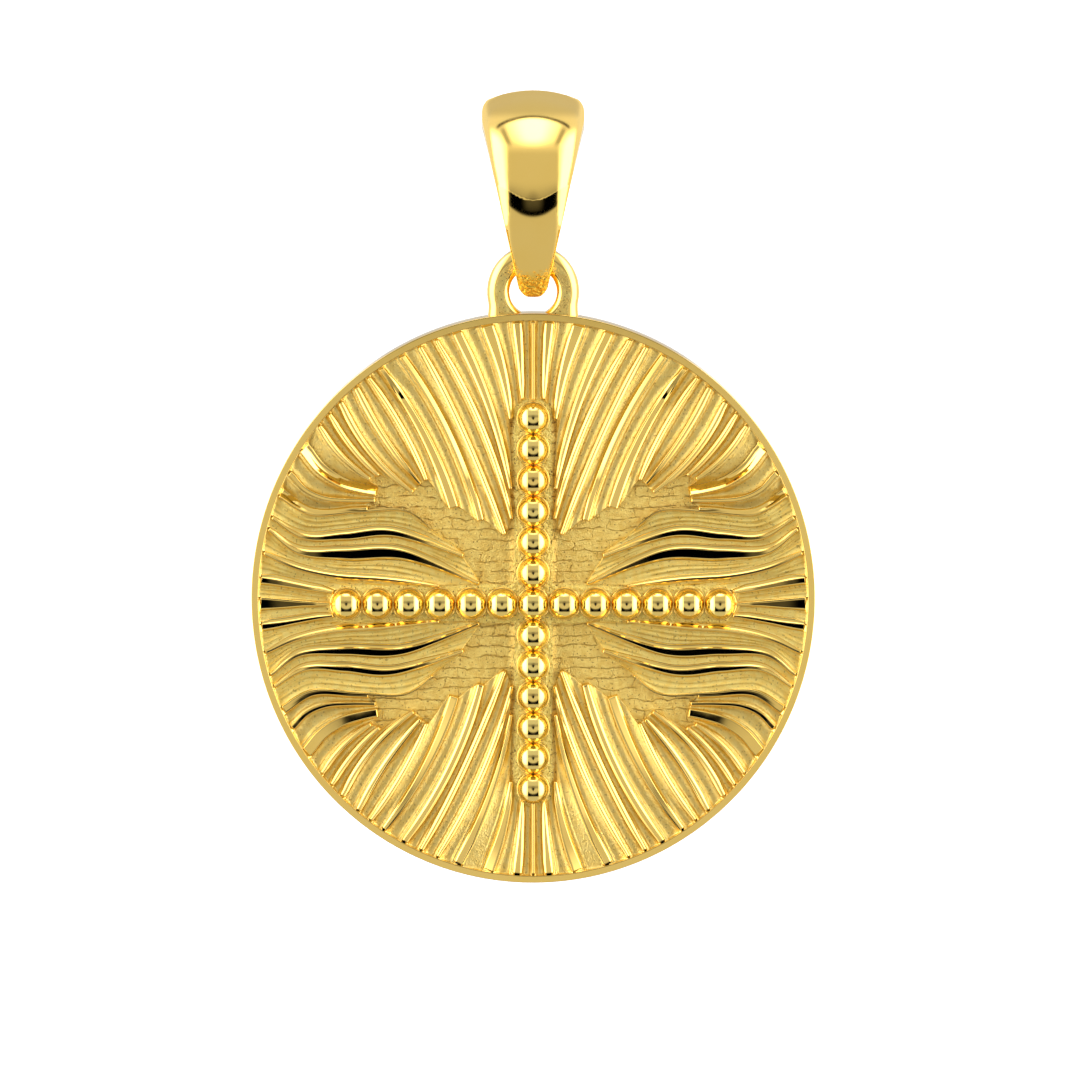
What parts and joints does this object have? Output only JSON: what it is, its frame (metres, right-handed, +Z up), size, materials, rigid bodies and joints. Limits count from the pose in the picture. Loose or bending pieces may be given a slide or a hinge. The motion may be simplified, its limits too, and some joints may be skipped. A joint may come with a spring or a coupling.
{
  "type": "medallion pendant",
  "caption": "Round gold medallion pendant with a beaded cross over curved ribs, hanging by its ring on a tapered bail.",
  "frame": {"origin": "chain's seat: the middle of the inside of the bail's top", "axes": "+Z up as the pendant hangs, face towards -Y, +X to the right seen from the front"},
  "size_m": [0.022, 0.0052, 0.031],
  "materials": {
    "polished_gold": "mirror polished",
    "relief_gold": "polished ribs over a fine-grained floor"
  },
  "bodies": {
    "bail": {"bail": "polished_gold"},
    "medallion": {"medallion": "relief_gold", "bead_across_01": "polished_gold", "bead_across_02": "polished_gold", "bead_across_03": "polished_gold", "bead_across_04": "polished_gold", "bead_across_05": "polished_gold", "bead_across_06": "polished_gold", "bead_across_07": "polished_gold", "bead_across_08": "polished_gold", "bead_across_09": "polished_gold", "bead_across_10": "polished_gold", "bead_across_11": "polished_gold", "bead_across_12": "polished_gold", "bead_across_13": "polished_gold", "bead_upright_01": "polished_gold", "bead_upright_02": "polished_gold", "bead_upright_03": "polished_gold", "bead_upright_04": "polished_gold", "bead_upright_05": "polished_gold", "bead_upright_06": "polished_gold", "bead_upright_07": "polished_gold", "bead_upright_08": "polished_gold", "bead_upright_09": "polished_gold", "bead_upright_10": "polished_gold", "bead_upright_11": "polished_gold", "bead_upright_12": "polished_gold"}
  },
  "joints": [
    {"name": "swing", "type": "hinge", "parent": "bail", "child": "medallion", "pos_m": [0, 0, -0.00577], "axis": [1, 0, 0], "range_deg": [-60, 60]}
  ]
}
